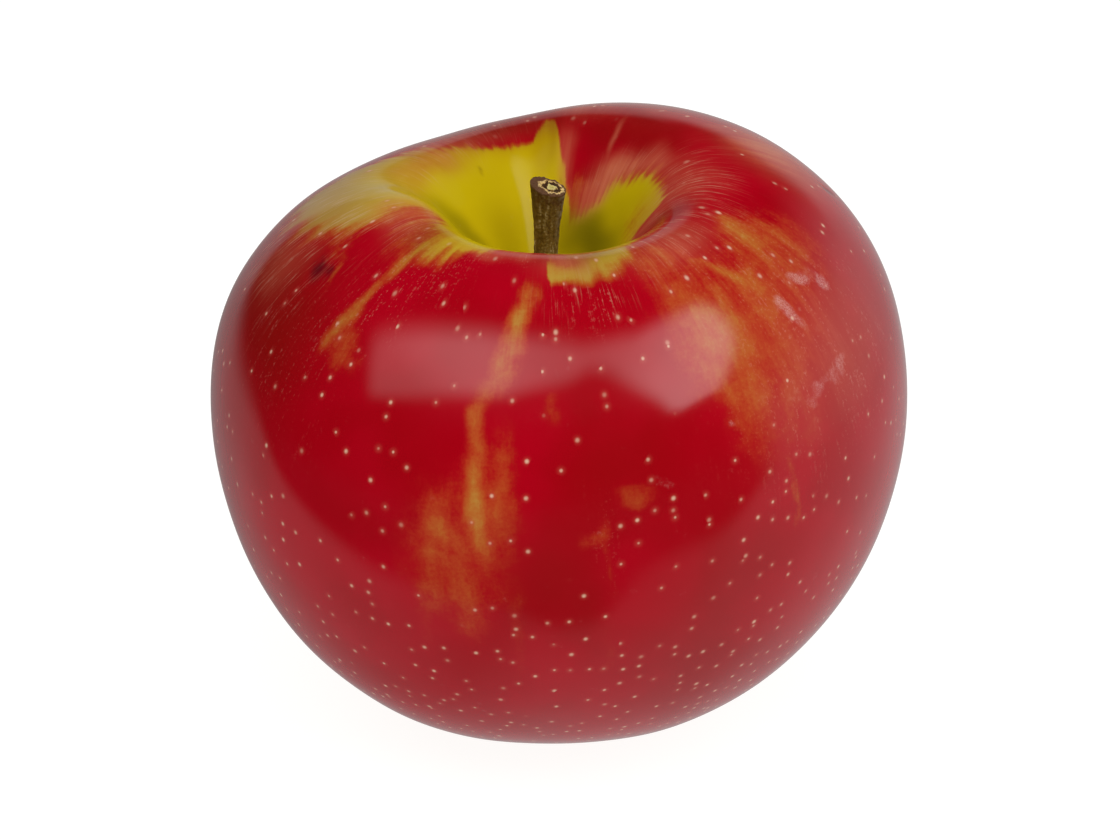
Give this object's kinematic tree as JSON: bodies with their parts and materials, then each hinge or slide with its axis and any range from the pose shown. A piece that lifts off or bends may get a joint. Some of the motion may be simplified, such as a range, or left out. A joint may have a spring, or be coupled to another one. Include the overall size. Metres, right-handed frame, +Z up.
{
  "type": "whole apple",
  "caption": "Whole red eating apple with a woody stem in its funnel and a dried calyx in its base, resting on its base lobes.",
  "frame": {"origin": "centre of the apple's box, at the level of the flats that it rests on", "axes": "+Z up along the core, -Y towards the viewer of the picture, +X to the right"},
  "size_m": [0.0798, 0.0802, 0.0671],
  "materials": {
    "skin": "waxy red skin with pale dots and yellow streaks",
    "bark": "dry brown bark with a pale cut end",
    "sepal": "dry brown leaf tissue"
  },
  "bodies": {
    "root": {"fruit": "skin", "stem": "bark", "calyx": "sepal"}
  },
  "joints": []
}
